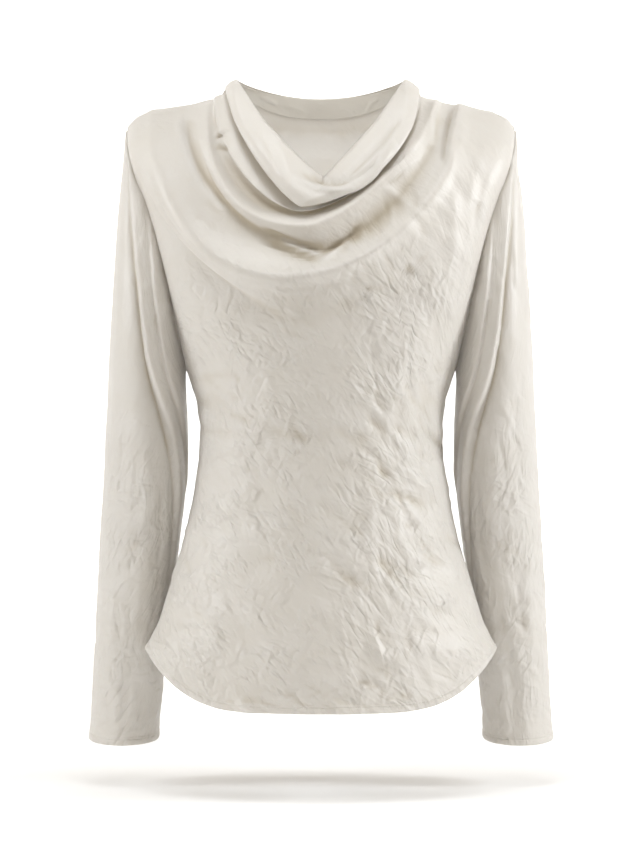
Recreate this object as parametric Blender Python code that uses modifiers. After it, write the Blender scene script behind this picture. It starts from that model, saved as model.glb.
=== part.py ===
"""Cowl neck top in hammered satin: front with its cut-on cowl, back, two set-in sleeves, back neck facing.

Metres, +Z up. The front faces -Y. The origin lies at the base of the neck, between the shoulders.
"""

import math
from collections import namedtuple

import bmesh
import bpy
import numpy as np

MM = 0.001

# Driving dimensions, in millimetres
WALL = 1.4
FACING_WALL = 1.0
SEAM_GAP = 0.3
SEAM_EASE = 0.45
ARMHOLE_EASE = 1.2
SHOULDER_ROUNDING = 120
SHOULDER_ROUNDNESS = 2.4
COLLAR_ROUNDNESS = 1.7
COLLAR_BLEND = 0.75
PLEAT_STACK = 8
PLEAT_STACK_RUN = 10
PLEAT_STACK_FADE = 12
BACK_NECK_DROP = 13
BACK_NECK_DEPTH = 56
HEM_CORNER_Z = -547
FRONT_TAIL = 55
BACK_TAIL = 62
TAIL_FLAT_HALF_WIDTH = 50
TAIL_POWER = 3.2
FACING_CLEARANCE = 0.1
CUFF_TILT = 4.5

# How a cowl row turns from lying on top of the shoulder to standing in front of the chest: its lean just
# under the shoulder line, and the depth below it at which it stands straight out
LEAN_AT_SHOULDER = 0.15
LEAN_DEPTH = 55
LIFT_ROUNDNESS = 0.9

# How the rows of the body take on the hem's curve, and those of the back the curve of its upper edge
HEM_CURVE_START = 0.15
BACK_ROW_CROWDING = 1.4
BACK_TOP_FADE = 1.3
BACK_SPREAD_START = 0.2

# Mesh divisions
FRONT_COLUMNS = 40
BACK_SHOULDER_COLUMNS = 6
BACK_NECK_COLUMNS = 20
BACK_COLUMNS = 2 * BACK_SHOULDER_COLUMNS + BACK_NECK_COLUMNS
SLEEVE_COLUMNS = 32
FACING_START = BACK_SHOULDER_COLUMNS + 2

# Rows of the facing, each between one row of the back and the next; together about 20 mm of cloth
FACING_ROWS = ((0, 0.08), (1, 0.0), (1, 0.4))

# The edge that the front and the back share, from the neck point down to the hem corner: the shoulder
# seam, the armhole and the side seam. half_width is the distance from the middle, forward is how far the
# front armhole curve swings to the front.
SeamPoint = namedtuple("SeamPoint", "half_width height forward")
SEAM = (
    SeamPoint(84, 12.5, 0),
    SeamPoint(94, 5.5, 0),
    SeamPoint(104, 0, 0),
    SeamPoint(118, -2.6, 0),
    SeamPoint(144, -7, 0),
    SeamPoint(170, -12, 0),
    SeamPoint(183, -18.5, 0),
    SeamPoint(191.5, -28, 0),
    SeamPoint(191.5, -45, 15),
    SeamPoint(187.5, -67, 27),
    SeamPoint(176, -94, 40),
    SeamPoint(166, -123, 47),
    SeamPoint(158, -152, 50),
    SeamPoint(149, -192, 45),
    SeamPoint(142, -231, 30),
    SeamPoint(136, -258, 12),
    SeamPoint(134, -270, 0),
    SeamPoint(124, -300, 0),
    SeamPoint(120.5, -330, 0),
    SeamPoint(122, -360, 0),
    SeamPoint(128, -400, 0),
    SeamPoint(137, -440, 1),
    SeamPoint(149, -480, 4),
    SeamPoint(161, -520, 8),
    SeamPoint(174.5, HEM_CORNER_Z, 12),
)
TIP = 7
UNDERARM = 16

# Depth of the body in front of and behind the seam line at each height, and how boxy its section is
Girth = namedtuple("Girth", "height front back power")
GIRTHS = (
    Girth(20, 45, 52, 2.3),
    Girth(0, 58, 66, 2.3),
    Girth(-50, 76, 84, 2.3),
    Girth(-100, 92, 94, 2.3),
    Girth(-150, 105, 96, 2.3),
    Girth(-200, 113, 94, 2.3),
    Girth(-250, 114, 89, 2.2),
    Girth(-300, 107, 80, 2.1),
    Girth(-335, 102, 75, 2.1),
    Girth(-400, 103, 79, 2.0),
    Girth(-450, 108, 88, 1.9),
    Girth(-500, 114, 97, 1.8),
    Girth(-550, 119, 103, 1.7),
    Girth(-615, 122, 106, 1.7),
)

# The cowl, one row for each crest, fold and hollow, from the neck edge down. A row hangs between a point
# on each shoulder or armhole, given as the run along the seam from the neck point. low_x and low_z are its
# lowest point; round is 1 for a straight V and 2 for an ellipse. lift is how far it stands off the body.
Swag = namedtuple("Swag", "place left_run right_run low_x low_z left_round right_round end_lift low_lift rows")
SWAGS = (
    Swag("neck edge", 0, 0, 2, -85, 1.12, 1.06, 8.0, 5, 1),
    Swag("band crest", 6, 6, -2, -101, 1.33, 1.40, 9.0, 15, 2),
    Swag("band face", 10, 12, -12, -109, 1.30, 1.60, 9.0, 17, 2),
    Swag("band fold", 14, 17, -19, -115, 1.30, 1.75, 7.2, 11, 2),
    Swag("return", 12, 14.5, -18.5, -111, 1.30, 1.75, 5.0, 4, 1),
    Swag("inner fold", 9.5, 12, -17, -106.5, 1.30, 1.70, 2.8, -2, 2),
    Swag("strip top", 12.5, 15, -17, -113, 1.35, 1.70, 0.6, -6, 1),
    Swag("strip face", 19, 20, -17, -120, 1.50, 1.60, 1.6, -3, 1),
    Swag("second hollow", 25, 26, -16, -126, 2.20, 1.50, 0.4, 1, 1),
    Swag("third roll", 32, 33, -14.5, -132, 2.90, 1.45, 1.4, 13, 2),
    Swag("under the third", 38, 38, -8, -141, 2.50, 1.45, 1.0, 9, 1),
    Swag("third hollow", 50, 46, 2, -156, 2.00, 1.50, 0.3, 2, 2),
    Swag("fourth face", 72, 53, -20, -171, 2.05, 1.75, 0.8, 9, 2),
    Swag("fourth roll", 88, 60, -38, -185, 2.10, 1.90, 1.2, 19, 2),
    Swag("under the fourth", 98, 72, -34, -195, 1.95, 1.90, 0.8, 12, 1),
    Swag("below the cowl", 108, 92, -28, -206, 1.75, 1.80, 0.5, 6, 2),
    Swag("upper chest", 150, 140, -20, -224, 1.40, 1.45, 0, 1.5, 2),
    Swag("chest", 230, 225, -10, -243, 1.50, 1.50, 0, 0.3, 2),
    Swag("lower chest", 320, 320, -4, -265, 1.80, 1.80, 0, 0, 1),
)
BODY_ROWS = 12
BACK_ARM_ROWS = 10

# The sleeve, one row for each ring from the armhole to the cuff. The outer point lies away from the body,
# the inner one next to it; centre_y is how far the ring hangs back, half_depth half its size front to back.
Ring = namedtuple("Ring", "outer_x outer_z inner_x inner_z centre_y half_depth")
RINGS = (
    Ring(192.5, -28, 134.5, -270.5, 0, 50),
    Ring(194.5, -38, 134.8, -272.5, 0, 53),
    Ring(197, -61, 135, -274.5, 0, 56),
    Ring(200.5, -95, 135.2, -277, 1, 58),
    Ring(204, -135, 135.4, -280, 2, 58),
    Ring(207, -180, 135.5, -284, 3, 57),
    Ring(210, -225, 135.5, -290, 5, 55),
    Ring(212.5, -268, 135.4, -300, 8, 53),
    Ring(214, -304, 135.2, -316, 11, 51),
    Ring(216, -335, 135.2, -338, 14, 50),
    Ring(217.5, -365, 135.6, -365, 17, 49),
    Ring(219.5, -395, 137, -395, 21, 48),
    Ring(222, -425, 141, -425, 26, 46),
    Ring(224, -455, 145, -455, 31, 44),
    Ring(226, -490, 149.5, -490, 36, 42),
    Ring(228.5, -525, 154, -525, 41, 40),
    Ring(230.5, -560, 158, -560, 44, 39),
    Ring(232.5, -595, 161.5, -595, 47, 38),
    Ring(234, -623, 164, -623, 49, 37.5),
    Ring(235.5, -642.5, 165.5, -642.5, 50, 37),
)
ARMHOLE_FADE_RINGS = 7

# The long fold down each sleeve from the shoulder tip to the inner arm, front and back
SleeveFold = namedtuple("SleeveFold", "ring angle height")
SLEEVE_FOLD = (
    SleeveFold(0, 38, 0),
    SleeveFold(2, 40, 2.0),
    SleeveFold(4, 58, 4.0),
    SleeveFold(6, 84, 5.0),
    SleeveFold(8, 112, 5.0),
    SleeveFold(11, 140, 3.0),
    SleeveFold(14, 152, 0),
    SleeveFold(19, 152, 0),
)
FOLD_SPREAD = 15
TROUGH_BESIDE = 30
TROUGH_DEPTH = 1.4
CUFF_TILT_START = 12
CUFF_TILT_RINGS = 7

# The middle line of a sleeve, for telling its outside
SLEEVE_MIDDLE_X = 0.185
SLEEVE_MIDDLE_Y = 0.02

# Finish. Shades are shares of the ivory
IVORY = (0.80, 0.765, 0.71)
SATIN_ROUGHNESS = 0.42
BACK_SHADE = 0.97
SLEEVE_SHADE = 0.98
FACING_SHADE = 0.93


def column(table, name):
    return np.array([getattr(row, name) for row in table], float)


def read(table, key, name, at):
    """A table's column read at a height or a count, in straight lines between its rows."""
    keys = column(table, key)
    values = column(table, name)
    if keys[0] > keys[-1]:
        return float(np.interp(-at, -keys, values))
    return float(np.interp(at, keys, values))


def seam_runs():
    """Distance along the seam edge from the neck point to each of its points."""
    points = np.array([(p.half_width, p.height, p.forward) for p in SEAM], float)
    steps = np.linalg.norm(np.diff(points, axis=0), axis=1)
    return np.concatenate([[0.0], np.cumsum(steps)])


RUNS = seam_runs()


def seam_at(run):
    """(half width, height, forward) of the seam edge at a run from the neck point."""
    return tuple(float(np.interp(run, RUNS, column(SEAM, name))) for name in SeamPoint._fields)


def shoulder_height(x):
    """Height of the shoulder line over a distance x from the middle."""
    shoulder = SEAM[: TIP + 1]
    return float(np.interp(abs(x), column(shoulder, "half_width"), column(shoulder, "height")))


def side_at(height):
    """(half width, forward) of the armhole or side seam at a height."""
    side = SEAM[TIP:]
    return read(side, "height", "half_width", height), read(side, "height", "forward", height)


def oval(share, power):
    """Depth of a rounded section, 1 at the middle and 0 at its side, with share the way across."""
    return max(0.0, 1.0 - min(1.0, abs(share)) ** power) ** (1.0 / power)


def rounding(below, collar=0.0):
    """How far the cloth has rounded over, 0 on the shoulder line and 1 well below it. collar is 1 where it
    starts from the back neckline, which stands up instead of lying over a shoulder."""
    share = min(1.0, max(0.0, below / SHOULDER_ROUNDING))
    shoulder = (1.0 - (1.0 - share) ** SHOULDER_ROUNDNESS) ** (1.0 / SHOULDER_ROUNDNESS)
    standing = 1.0 - (1.0 - share) ** COLLAR_ROUNDNESS
    return shoulder + (standing - shoulder) * collar


def front_depth(x, height):
    """Distance of the plain front in front of y = 0."""
    half_width, forward = side_at(height)
    section = oval(x / half_width, read(GIRTHS, "height", "power", height))
    full = read(GIRTHS, "height", "front", height) - forward
    return forward + full * section * rounding(shoulder_height(x) - height)


def stack_height(run):
    """How high the pleats of the cowl pile up on the shoulder seam."""
    return PLEAT_STACK * (1.0 - smooth((run - PLEAT_STACK_RUN) / PLEAT_STACK_FADE))


def smooth(share):
    share = min(1.0, max(0.0, share))
    return share * share * (3.0 - 2.0 * share)


def back_top(x):
    """(height, depth) of the back's upper edge: the neckline between the neck points, then the shoulders."""
    neck = SEAM[0].half_width
    if abs(x) < neck:
        share = x / neck
        rise = SEAM[0].height + stack_height(0) - BACK_NECK_DROP * (1.0 - share * share)
        return rise, BACK_NECK_DEPTH * oval(share, 2.0)
    run = float(np.interp(abs(x), column(SEAM[: TIP + 1], "half_width"), RUNS[: TIP + 1]))
    return shoulder_height(x) + stack_height(run), 0.0


def back_depth(x, height):
    """Distance of the back behind y = 0."""
    half_width, forward = side_at(height)
    if height < SEAM[UNDERARM].height:
        forward = -forward
    top, edge_depth = back_top(x)
    section = oval(x / half_width, read(GIRTHS, "height", "power", height))
    full = read(GIRTHS, "height", "back", height) - forward - edge_depth
    collar = smooth((1.0 - abs(x) / SEAM[0].half_width) / COLLAR_BLEND)
    return forward + edge_depth + full * section * rounding(top - height, collar)


def hem_height(x, half_width, tail):
    """Height of the shirt-tail hem: level across the middle, rising to the corner at the side."""
    share = max(0.0, (abs(x) - TAIL_FLAT_HALF_WIDTH) / (half_width - TAIL_FLAT_HALF_WIDTH))
    return HEM_CORNER_Z - tail * (1.0 - min(1.0, share) ** TAIL_POWER)


def bow(share, ends, low, roundness):
    """Point of a hanging curve in its own plane, from an end (share 0) to its lowest point (share 1)."""
    angle = share * math.pi / 2
    power = 2.0 / roundness
    across = low[0] + (ends[0] - low[0]) * math.cos(angle) ** power
    height = ends[1] + (low[1] - ends[1]) * math.sin(angle) ** power
    return across, height


def swag_point(swag, across):
    """Point of a cowl row, with across from -1 at the left seam to 1 at the right."""
    left = across < 0
    width, height, forward = seam_at(swag.left_run if left else swag.right_run)
    end = (-width if left else width, height)
    share = 1.0 - abs(across)
    low = (swag.low_x, swag.low_z)
    x, z = bow(share, end, low, swag.left_round if left else swag.right_round)
    lift = swag.end_lift + (swag.low_lift - swag.end_lift) * math.sin(share * math.pi / 2) ** LIFT_ROUNDNESS
    lean = math.pi / 2 * smooth(LEAN_AT_SHOULDER + (shoulder_height(x) - z) / LEAN_DEPTH)
    if share == 0:
        lean = 0.0 if forward == 0 else math.pi / 2
    y = -front_depth(x, z) - lift * math.sin(lean)
    return x, y, z + lift * math.cos(lean)


def cowl_rows():
    """The cowl's rows with those between them, eased so that crests and hollows come out round."""
    rows = []
    for number in range(len(SWAGS) - 1):
        count = int(SWAGS[number].rows)
        for step in range(count):
            rows.append(eased_swag(number + step / count))
    rows.append(SWAGS[-1])
    return rows


def eased_swag(at):
    """Row number at of the table, by a smooth curve through its neighbours."""
    number = min(int(at), len(SWAGS) - 2)
    share = at - number
    around = [SWAGS[min(max(number + k, 0), len(SWAGS) - 1)][1:] for k in (-1, 0, 1, 2)]
    before, first, second, after = (np.array(row, float) for row in around)
    values = 0.5 * (
        2 * first
        + (second - before) * share
        + (2 * before - 5 * first + 4 * second - after) * share**2
        + (3 * first - before - 3 * second + after) * share**3
    )
    return Swag(SWAGS[number].place, *values)


def body_row(number, tail, depth_at, facing):
    """One row of points round the front (facing -1) or back (facing 1) below the underarm."""
    share = number / BODY_ROWS
    columns = FRONT_COLUMNS if facing < 0 else BACK_COLUMNS
    start = SEAM[UNDERARM].height
    points = []
    for step in range(columns + 1):
        across = -math.cos(math.pi * step / columns)
        end_height = start + (HEM_CORNER_Z - start) * share
        half_width, forward = side_at(end_height)
        x = half_width * across
        drop = hem_height(x, half_width, tail) - HEM_CORNER_Z
        z = end_height + drop * smooth((share - HEM_CURVE_START) / (1 - HEM_CURVE_START))
        points.append((x, facing * depth_at(x, z), z))
    return points


def front_points():
    """Rows of the front panel, from the neck edge to the hem."""
    rows = []
    for swag in cowl_rows():
        spread = [-1 + 2 * step / FRONT_COLUMNS for step in range(FRONT_COLUMNS + 1)]
        rows.append([swag_point(swag, across) for across in spread])
    rows += [body_row(number, FRONT_TAIL, front_depth, -1) for number in range(BODY_ROWS + 1)]
    return rows


def back_spread(step):
    """Where a column of the back crosses its upper edge, from -1 to 1: close together round the neckline."""
    neck = SEAM[0].half_width / SEAM[TIP].half_width
    middle = BACK_COLUMNS / 2
    if abs(step - middle) <= BACK_NECK_COLUMNS / 2:
        return neck * math.sin(math.pi * (step - middle) / BACK_NECK_COLUMNS)
    outer = (abs(step - middle) - BACK_NECK_COLUMNS / 2) / BACK_SHOULDER_COLUMNS
    return math.copysign(neck + (1 - neck) * outer, step - middle)


def back_points():
    """Rows of the back panel, from the neckline and shoulders to the hem."""
    rows = []
    tip = SEAM[TIP].height
    for number in range(BACK_ARM_ROWS):
        share = (number / BACK_ARM_ROWS) ** BACK_ROW_CROWDING
        end_run = RUNS[TIP] + (RUNS[UNDERARM] - RUNS[TIP]) * share
        half_width, end_height, _ = seam_at(end_run)
        row = []
        for step in range(BACK_COLUMNS + 1):
            even = -math.cos(math.pi * step / BACK_COLUMNS)
            evening = smooth((share - BACK_SPREAD_START) / (1 - BACK_SPREAD_START))
            across = back_spread(step) + (even - back_spread(step)) * evening
            x = half_width * across
            above_tip = back_top(SEAM[TIP].half_width * across)[0] - tip
            z = end_height + above_tip * (1.0 - share) ** BACK_TOP_FADE
            row.append((x, back_depth(x, z), z))
        rows.append(row)
    rows += [body_row(number, BACK_TAIL, back_depth, 1) for number in range(BODY_ROWS + 1)]
    return rows


def facing_points():
    """Rows of the back neck facing: the back's own points below its neckline, moved inwards."""
    grid = np.array(back_points()[:3])
    across = np.gradient(grid, axis=1)
    down = np.gradient(grid, axis=0)
    inwards = np.cross(across, down)
    inwards /= np.linalg.norm(inwards, axis=2, keepdims=True)
    inwards *= -np.sign(inwards[:, :, 1:2])
    moved = grid + inwards * (WALL / 2 + SEAM_GAP + FACING_WALL / 2 + FACING_CLEARANCE)
    rows = []
    for row, share in FACING_ROWS:
        line = moved[row] + (moved[row + 1] - moved[row]) * share
        rows.append([tuple(point) for point in line[FACING_START : BACK_COLUMNS - FACING_START + 1]])
    return rows


def sleeve_points(side):
    """Rings of a sleeve, from the armhole to the cuff. side is -1 for the left one and 1 for the right."""
    rows = []
    for number, ring in enumerate(RINGS):
        fade = 1.0 - smooth(number / ARMHOLE_FADE_RINGS)
        row = []
        for step in range(SLEEVE_COLUMNS):
            angle = 2 * math.pi * step / SLEEVE_COLUMNS
            x, y, z = ring_point(ring, angle, number)
            seam_x, seam_y, seam_z = armhole_point(angle)
            plain = ring_point(RINGS[0], angle, 0)
            x += fade * (seam_x - plain[0])
            y += fade * (seam_y - plain[1])
            z += fade * (seam_z - plain[2])
            row.append((side * x, y, z))
        rows.append(row)
    return rows


def armhole_point(angle):
    """Point of the armhole, from the shoulder tip (0) round the front to the underarm (pi) and back."""
    turn = angle if angle <= math.pi else 2 * math.pi - angle
    run = RUNS[TIP] + (RUNS[UNDERARM] - RUNS[TIP]) * (1 - math.cos(turn)) / 2
    half_width, height, forward = seam_at(run)
    facing = -1 if angle <= math.pi else 1
    return half_width + SEAM_GAP + WALL / 2 + ARMHOLE_EASE, facing * forward, height


def ring_point(ring, angle, number):
    """Point of a sleeve ring before it is fitted to the armhole, with the sleeve's long fold."""
    centre_x = (ring.outer_x + ring.inner_x) / 2
    centre_z = (ring.outer_z + ring.inner_z) / 2
    turn = angle if angle <= math.pi else 2 * math.pi - angle
    fold_angle = math.radians(read(SLEEVE_FOLD, "ring", "angle", number))
    height = read(SLEEVE_FOLD, "ring", "height", number)
    spread = math.radians(FOLD_SPREAD)
    crest = math.exp(-(((turn - fold_angle) / spread) ** 2))
    trough = math.exp(-(((turn - fold_angle + math.radians(TROUGH_BESIDE)) / spread) ** 2))
    swell = 1.0 + (crest - TROUGH_DEPTH * trough) * height / ring.half_depth
    across = math.cos(angle) * swell
    depth = math.sin(angle) * swell
    tilt = CUFF_TILT * smooth((number - CUFF_TILT_START) / CUFF_TILT_RINGS) * math.sin(angle)
    x = centre_x + (ring.outer_x - ring.inner_x) / 2 * across
    z = centre_z + (ring.outer_z - ring.inner_z) / 2 * across - tilt
    return x, ring.centre_y - ring.half_depth * depth, z


def satin(name, shade=1.0):
    """Ivory hammered satin."""
    material = bpy.data.materials.new(name)
    material.use_nodes = True
    shader = material.node_tree.nodes["Principled BSDF"]
    shader.inputs["Base Color"].default_value = [c * shade for c in IVORY] + [1.0]
    shader.inputs["Roughness"].default_value = SATIN_ROUGHNESS
    shader.inputs["Metallic"].default_value = 0.0
    return material


def sheet(name, rows, wall, material, outward, closed=False):
    """A wall of cloth: a grid of points, one row after another, thickened evenly about its middle."""
    mesh = bpy.data.meshes.new(name)
    grid = bmesh.new()
    verts = [[grid.verts.new([c * MM for c in point]) for point in row] for row in rows]
    for upper, lower in zip(verts, verts[1:]):
        count = len(upper)
        for step in range(count if closed else count - 1):
            after = (step + 1) % count
            grid.faces.new((upper[step], upper[after], lower[after], lower[step]))
    grid.normal_update()
    if sum(face.normal.dot(outward(face.calc_center_median())) for face in grid.faces) < 0:
        bmesh.ops.reverse_faces(grid, faces=grid.faces)
    grid.to_mesh(mesh)
    grid.free()
    mesh.shade_smooth()
    panel = bpy.data.objects.new(name, mesh)
    thicken = panel.modifiers.new("wall", "SOLIDIFY")
    thicken.thickness = wall * MM
    thicken.offset = 0.0
    mesh.materials.append(material)
    return panel


def from_axis(x, y):
    """Direction away from an upright axis, for telling a wall's outside."""

    def outward(point):
        away = point.copy()
        away.x -= x
        away.y -= y
        away.z = 0
        return away

    return outward


def inset_seams(rows, facing):
    """Moves a panel's side and shoulder edges off the shared seam line by half the seam gap."""
    half_gap = facing * (SEAM_GAP / 2 + SEAM_EASE)
    moved = []
    for row in rows:
        row = [tuple(point) for point in row]
        for end in (0, -1):
            x, y, z = row[end]
            row[end] = (x, y + half_gap, z)
        moved.append(row)
    return moved


def clear_scene():
    for thing in list(bpy.data.objects):
        bpy.data.objects.remove(thing, do_unlink=True)


def build():
    clear_scene()
    garment = bpy.data.collections.new("cowl_neck_top")
    bpy.context.scene.collection.children.link(garment)
    body = from_axis(0, 0)
    front = sheet("front_panel", inset_seams(front_points(), -1), WALL, satin("front satin"), body)
    back = sheet("back_panel", inset_seams(back_points(), 1), WALL, satin("back satin", BACK_SHADE), body)
    facing = sheet("back_neck_facing", facing_points(), FACING_WALL, satin("facing satin", FACING_SHADE), body)
    pieces = [front, back, facing]
    for side, name in ((-1, "sleeve_left"), (1, "sleeve_right")):
        away = from_axis(side * SLEEVE_MIDDLE_X, SLEEVE_MIDDLE_Y)
        cloth = satin(name + " satin", SLEEVE_SHADE)
        pieces.append(sheet(name, sleeve_points(side), WALL, cloth, away, closed=True))
    for piece in pieces:
        garment.objects.link(piece)


build()
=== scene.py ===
import math
from collections import namedtuple

import bmesh
import bpy
import numpy as np
from mathutils import Matrix, Vector


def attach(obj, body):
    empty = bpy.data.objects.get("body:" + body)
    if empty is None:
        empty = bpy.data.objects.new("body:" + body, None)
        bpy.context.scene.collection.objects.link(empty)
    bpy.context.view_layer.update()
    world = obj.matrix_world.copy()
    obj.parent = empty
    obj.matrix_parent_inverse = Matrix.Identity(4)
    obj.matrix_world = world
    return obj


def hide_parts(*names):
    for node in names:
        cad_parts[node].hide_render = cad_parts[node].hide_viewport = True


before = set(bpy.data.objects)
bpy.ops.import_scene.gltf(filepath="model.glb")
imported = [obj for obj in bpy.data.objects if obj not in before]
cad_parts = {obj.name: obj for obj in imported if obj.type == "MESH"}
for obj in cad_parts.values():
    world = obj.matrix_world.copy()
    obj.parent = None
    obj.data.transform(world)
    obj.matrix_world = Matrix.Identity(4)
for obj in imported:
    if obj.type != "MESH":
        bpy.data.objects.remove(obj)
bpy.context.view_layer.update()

# Camera. It stands straight in front at chest height, far enough away that the sides hardly taper.
VIEW_DISTANCE = 2.8
EYE_HEIGHT = -0.328
FRAME_HEIGHT = 0.856
SENSOR = 36.0

eye = bpy.data.cameras.new("eye")
eye.sensor_width = SENSOR
eye.lens = SENSOR * VIEW_DISTANCE / FRAME_HEIGHT
camera = bpy.data.objects.new("eye", eye)
camera.location = (0, -VIEW_DISTANCE, EYE_HEIGHT)
camera.rotation_euler = (math.pi / 2, 0, 0)
bpy.context.scene.collection.objects.link(camera)
bpy.context.scene.camera = camera

# Studio. A white sweep, floor and wall in one, lies just below the cuffs. Two large soft boxes stand at
# the front corners, a third hangs overhead, and the white room fills the shade.
FLOOR_HEIGHT = -0.69
SWEEP_HALF_WIDTH = 6.0
SWEEP_FRONT = -4.5
SWEEP_WALL = 4.6
SWEEP_BEND = 1.2
ROOM_STRENGTH = 0.20
ROOM_COLOUR = (1.0, 0.78, 0.48)
LAMP_COLOUR = (0.94, 0.97, 1.0)
FLOOR_GLOW = 0.19
# size of the painted shadow: the soft oval under the garment where the floor glows less
SHADE_HALF_WIDTH = 0.20
SHADE_HALF_DEPTH = 0.12
WALL_GLOW = 0.75
WALL_FROM = 0.4
WALL_TO = 1.4
SWEEP_WHITE_FROM = -0.6
SWEEP_GREY_TO = -1.1
SoftBox = namedtuple("SoftBox", "x y z aim_y aim_z size power")
SOFT_BOXES = (
    SoftBox(0.0, -2.7, 0.5, 0, -0.3, 1.5, 8),
    SoftBox(-2.0, -0.45, 0.4, 0, -0.35, 0.8, 23.5),
    SoftBox(2.0, -0.33, 0.35, 0, -0.35, 0.7, 30),
    SoftBox(0.0, -0.7, 2.0, 0, -0.3, 1.3, 17),
    SoftBox(0.0, -0.35, 0.40, 0, -0.05, 0.25, 1.2),
    # a small lamp inside the chest, for the inside of the back neck
    SoftBox(0.0, -0.035, -0.20, 0.075, -0.03, 0.07, 0.20),
)

sweep_mesh = bmesh.new()
profile = [sweep_mesh.verts.new((-SWEEP_HALF_WIDTH, SWEEP_FRONT, FLOOR_HEIGHT))]
for step in range(13):
    turn = math.pi / 2 * step / 12
    back = SWEEP_WALL - SWEEP_BEND + SWEEP_BEND * math.sin(turn)
    profile.append(sweep_mesh.verts.new((-SWEEP_HALF_WIDTH, back, FLOOR_HEIGHT + SWEEP_BEND * (1 - math.cos(turn)))))
profile.append(sweep_mesh.verts.new((-SWEEP_HALF_WIDTH, SWEEP_WALL, 5.0)))
edges = [sweep_mesh.edges.new(pair) for pair in zip(profile, profile[1:])]
wide = bmesh.ops.extrude_edge_only(sweep_mesh, edges=edges)
moved = [item for item in wide["geom"] if isinstance(item, bmesh.types.BMVert)]
bmesh.ops.translate(sweep_mesh, verts=moved, vec=(2 * SWEEP_HALF_WIDTH, 0, 0))
bmesh.ops.recalc_face_normals(sweep_mesh, faces=sweep_mesh.faces)
sweep_data = bpy.data.meshes.new("sweep")
sweep_mesh.to_mesh(sweep_data)
sweep_mesh.free()
sweep_data.shade_smooth()
sweep = bpy.data.objects.new("sweep", sweep_data)
bpy.context.scene.collection.objects.link(sweep)
paper = bpy.data.materials.new("white_paper")
paper.use_nodes = True
paper_shader = paper.node_tree.nodes["Principled BSDF"]
paper_shader.inputs["Base Color"].default_value = (0.93, 0.93, 0.93, 1)
paper_shader.inputs["Roughness"].default_value = 0.9
paper_shader.inputs["Emission Color"].default_value = (1, 1, 1, 1)
paper_nodes, paper_links = paper.node_tree.nodes, paper.node_tree.links
where = paper_nodes.new("ShaderNodeTexCoord")
parts = paper_nodes.new("ShaderNodeSeparateXYZ")
paper_links.new(where.outputs["Object"], parts.inputs["Vector"])
glow = paper_nodes.new("ShaderNodeMath")
for place, (start, stop, strength) in enumerate((
    (SWEEP_GREY_TO, SWEEP_WHITE_FROM, FLOOR_GLOW),
    (WALL_FROM, WALL_TO, WALL_GLOW),
)):
    rise = paper_nodes.new("ShaderNodeMapRange")
    rise.interpolation_type = "SMOOTHSTEP"
    rise.inputs["From Min"].default_value = start
    rise.inputs["From Max"].default_value = stop
    rise.inputs["To Max"].default_value = strength
    paper_links.new(parts.outputs["Y"], rise.inputs["Value"])
    paper_links.new(rise.outputs["Result"], glow.inputs[place])
# painted shadow: the glow of the floor is weaker in a soft oval under the garment, so that a soft shadow shows there
painted_shadow_place = paper_nodes.new("ShaderNodeMapping")
painted_shadow_place.inputs["Scale"].default_value = (1 / SHADE_HALF_WIDTH, 1 / SHADE_HALF_DEPTH, 0)
painted_shadow_size = paper_nodes.new("ShaderNodeVectorMath")
painted_shadow_size.operation = "LENGTH"
painted_shadow_mask = paper_nodes.new("ShaderNodeMapRange")
painted_shadow_mask.interpolation_type = "SMOOTHSTEP"
painted_shadow_mask.inputs["From Min"].default_value = 0.1
painted_shadow_mask.inputs["From Max"].default_value = 1.2
glow_less_painted_shadow = paper_nodes.new("ShaderNodeMath")
glow_less_painted_shadow.operation = "MULTIPLY"
paper_links.new(where.outputs["Object"], painted_shadow_place.inputs["Vector"])
paper_links.new(painted_shadow_place.outputs["Vector"], painted_shadow_size.inputs[0])
paper_links.new(painted_shadow_size.outputs["Value"], painted_shadow_mask.inputs["Value"])
paper_links.new(glow.outputs[0], glow_less_painted_shadow.inputs[0])
paper_links.new(painted_shadow_mask.outputs["Result"], glow_less_painted_shadow.inputs[1])
paper_links.new(glow_less_painted_shadow.outputs[0], paper_shader.inputs["Emission Strength"])
sweep_data.materials.append(paper)

for number, box in enumerate(SOFT_BOXES):
    lamp_data = bpy.data.lights.new(f"soft_box_{number}", "AREA")
    lamp_data.energy = box.power
    lamp_data.size = box.size
    lamp_data.color = LAMP_COLOUR
    lamp = bpy.data.objects.new(f"soft_box_{number}", lamp_data)
    lamp.location = (box.x, box.y, box.z)
    aim = Vector((0, box.aim_y, box.aim_z)) - lamp.location
    lamp.rotation_euler = aim.to_track_quat("-Z", "Y").to_euler()
    bpy.context.scene.collection.objects.link(lamp)

room = bpy.data.worlds.new("white_room")
room.use_nodes = True
room.node_tree.nodes["Background"].inputs["Color"].default_value = (*ROOM_COLOUR, 1)
room.node_tree.nodes["Background"].inputs["Strength"].default_value = ROOM_STRENGTH
bpy.context.scene.world = room
bpy.context.scene.view_settings.view_transform = "Standard"

# The satin. One bolt of ivory crinkle satin makes every piece: a weft-faced weave with a soft sheen,
# crushed in the finish so that fine short wrinkles run on the slant over all of it.
IVORY = (0.79, 0.765, 0.728)
# painted shade: the darker, warmer ivory mixed into the satin deep in its folds, and at most how much of it
PAINTED_FOLD_SHADE = (0.50, 0.43, 0.31)
PAINTED_FOLD_SHADE_SHARE = 0.8
# a darker, warmer ivory: a random mottle on each piece and on the thread, and painted shade over the whole facing
MOTTLE_AND_SHADE_IVORY = (0.735, 0.70, 0.635)
LIGHT_THROUGH = (0.78, 0.71, 0.59)
GLOW_THROUGH = 0.22
WEAVE_PITCH = 0.00045
# near the shoulders, down to these distances, the cloth hangs taut and its wrinkles are this much weaker
CALM_FROM = 0.15
CALM_TO = 0.27
CALM_SHARE = 0.20


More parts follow.
